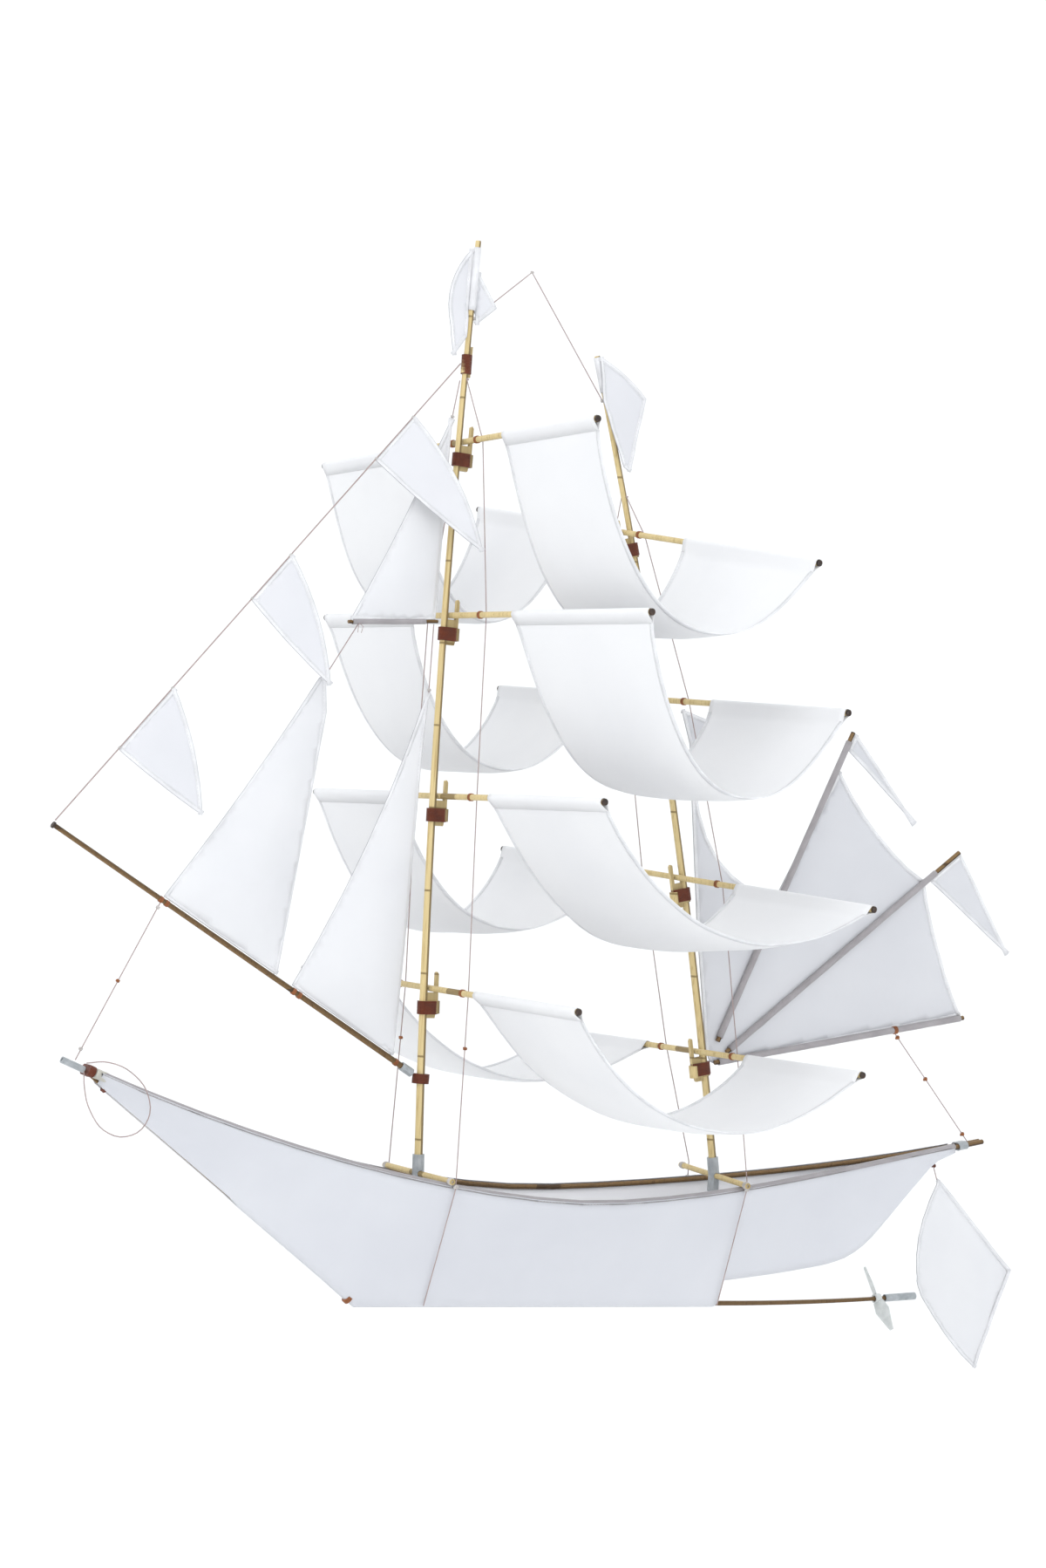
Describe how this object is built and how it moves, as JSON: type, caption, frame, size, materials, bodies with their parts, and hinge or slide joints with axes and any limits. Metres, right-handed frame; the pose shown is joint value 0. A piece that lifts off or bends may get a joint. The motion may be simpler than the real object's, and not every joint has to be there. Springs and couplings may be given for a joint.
{
  "type": "ship kite",
  "caption": "A hanging kite shaped as a two-masted sailing ship: a split bamboo frame, an open nylon hull, paired square sails, headsails, spanker, flags, tail fin and propeller.",
  "frame": {"origin": "on the flat underside of the keel rod, amidships", "axes": "the bow points along -X, the port side along -Y and the mastheads along +Z; the keel lies level"},
  "size_m": [1.0114, 0.5425, 0.9831],
  "materials": {
    "pale_bamboo": "split bamboo, pale and dry, with a thin varnish",
    "brown_bamboo": "split bamboo stained brown",
    "sail_nylon": "thin white ripstop nylon",
    "hull_nylon": "thin blue-grey nylon, drawn tight",
    "spanker_nylon": "thin light grey nylon",
    "hem_tape": "grey folded hem with stitching",
    "rigging_thread": "thin twisted cotton thread",
    "lashing_thread": "red-brown waxed thread, wound tight and varnished",
    "vinyl_tube": "soft cloudy vinyl tube",
    "propeller_plastic": "pale grey moulded plastic"
  },
  "bodies": {
    "frame": {"keel_rod": "brown_bamboo", "stem_rod": "brown_bamboo", "gunwale_port": "brown_bamboo", "gunwale_starboard": "brown_bamboo", "hull_skin_port": "hull_nylon", "hull_skin_starboard": "hull_nylon", "bow_tube": "vinyl_tube", "stern_tube": "vinyl_tube", "fore_post": "pale_bamboo", "fore_spreader": "pale_bamboo", "fore_step_tube": "vinyl_tube", "main_post": "pale_bamboo", "main_spreader": "pale_bamboo", "main_step_tube": "vinyl_tube", "foremast": "pale_bamboo", "mainmast": "pale_bamboo", "bowsprit": "brown_bamboo", "bowsprit_tube": "vinyl_tube", "forestay": "rigging_thread", "staysail_spar": "brown_bamboo", "outer_jib": "sail_nylon", "inner_jib": "sail_nylon", "topmast_staysail": "sail_nylon", "tail_tube": "vinyl_tube", "fore_shrouds": "rigging_thread", "main_shrouds": "rigging_thread", "bobstay": "rigging_thread", "hang_line": "rigging_thread", "bow_loop": "rigging_thread"},
    "course_level": {"fore_course_yard": "pale_bamboo", "main_course_yard": "pale_bamboo", "course_sail_port": "sail_nylon", "course_sail_starboard": "sail_nylon"},
    "topsail_level": {"fore_topsail_yard": "pale_bamboo", "main_topsail_yard": "pale_bamboo", "topsail_sail_port": "sail_nylon", "topsail_sail_starboard": "sail_nylon"},
    "topgallant_level": {"fore_topgallant_yard": "pale_bamboo", "main_topgallant_yard": "pale_bamboo", "topgallant_sail_port": "sail_nylon", "topgallant_sail_starboard": "sail_nylon"},
    "royal_level": {"fore_royal_yard": "pale_bamboo", "main_royal_yard": "pale_bamboo", "royal_sail_port": "sail_nylon", "royal_sail_starboard": "sail_nylon"},
    "propeller": {"propeller": "propeller_plastic"},
    "tail_fin": {"tail_fin": "sail_nylon"},
    "spanker": {"spanker_gaff": "brown_bamboo", "spanker_sprit": "brown_bamboo", "spanker_boom": "brown_bamboo", "spanker_sail": "spanker_nylon"},
    "gaff_flag": {"gaff_flag": "spanker_nylon"},
    "sprit_flag": {"sprit_flag": "spanker_nylon"},
    "boom_sheet": {"boom_sheet": "rigging_thread"},
    "foremast_flag": {"foremast_flag": "sail_nylon"},
    "mainmast_flag": {"mainmast_flag": "sail_nylon"},
    "upper_stay_flag": {"upper_stay_flag": "sail_nylon"},
    "middle_stay_flag": {"middle_stay_flag": "sail_nylon"},
    "lower_stay_flag": {"lower_stay_flag": "sail_nylon"}
  },
  "joints": [
    {"name": "course_rock", "type": "hinge", "parent": "frame", "child": "course_level", "pos_m": [-0.13515, 0, 0.273], "axis": [0.9883, 0, -0.1523], "range_deg": [-3, 3]},
    {"name": "topsail_rock", "type": "hinge", "parent": "frame", "child": "topsail_level", "pos_m": [-0.1414, 0, 0.439], "axis": [0.9782, 0, -0.2075], "range_deg": [-3, 3]},
    {"name": "topgallant_rock", "type": "hinge", "parent": "frame", "child": "topgallant_level", "pos_m": [-0.14432, 0, 0.596], "axis": [0.9711, 0, -0.2385], "range_deg": [-3, 3]},
    {"name": "royal_rock", "type": "hinge", "parent": "frame", "child": "royal_level", "pos_m": [-0.1444, 0, 0.748], "axis": [0.9461, 0, -0.3238], "range_deg": [-3, 3]},
    {"name": "propeller_spin", "type": "hinge", "parent": "frame", "child": "propeller", "pos_m": [0.3685, 0, 0.00625], "axis": [0.9988, 0, 0.0496], "continuous": true},
    {"name": "tail_fin_swing", "type": "hinge", "parent": "frame", "child": "tail_fin", "pos_m": [0.424, 0, 0.1325], "axis": [0.0925, 0, 0.9957], "range_deg": [-20, 20]},
    {"name": "spanker_swing", "type": "hinge", "parent": "frame", "child": "spanker", "pos_m": [0.158, 0, 0.223], "axis": [-0.1545, 0, 0.988], "range_deg": [-8, 8]},
    {"name": "gaff_flag_swing", "type": "hinge", "parent": "spanker", "child": "gaff_flag", "pos_m": [0.293, 0, 0.535], "axis": [0.3941, 0, 0.9191], "range_deg": [-15, 15]},
    {"name": "sprit_flag_swing", "type": "hinge", "parent": "spanker", "child": "sprit_flag", "pos_m": [0.428, 0, 0.432], "axis": [0.7798, 0, 0.626], "range_deg": [-15, 15]},
    {"name": "boom_sheet_swing", "type": "hinge", "parent": "frame", "child": "boom_sheet", "pos_m": [0.4625, 0, 0.15678], "axis": [0.7313, 0, 0.682], "range_deg": [-13, 13]},
    {"name": "foremast_flag_swivel", "type": "hinge", "parent": "frame", "child": "foremast_flag", "pos_m": [-0.14865, 0, 0.8625], "axis": [0.0265, 0, 0.9996], "range_deg": [0, 60]},
    {"name": "mainmast_flag_swivel", "type": "hinge", "parent": "frame", "child": "mainmast_flag", "pos_m": [-0.00765, 0, 0.812], "axis": [-0.3163, 0, 0.9486], "range_deg": [-20, 40]},
    {"name": "upper_stay_flag_swing", "type": "hinge", "parent": "frame", "child": "upper_stay_flag", "pos_m": [-0.196, 0, 0.76308], "axis": [0.6209, 0, 0.7839], "range_deg": [-12, 12]},
    {"name": "middle_stay_flag_swing", "type": "hinge", "parent": "frame", "child": "middle_stay_flag", "pos_m": [-0.301, 0, 0.63052], "axis": [0.6209, 0, 0.7839], "range_deg": [-12, 12]},
    {"name": "lower_stay_flag_swing", "type": "hinge", "parent": "frame", "child": "lower_stay_flag", "pos_m": [-0.398, 0, 0.50806], "axis": [0.6209, 0, 0.7839], "range_deg": [-12, 12]}
  ],
  "couplings": [
    {"joint": "boom_sheet_swing", "follows": "spanker_swing", "ratio": -1.5146}
  ]
}
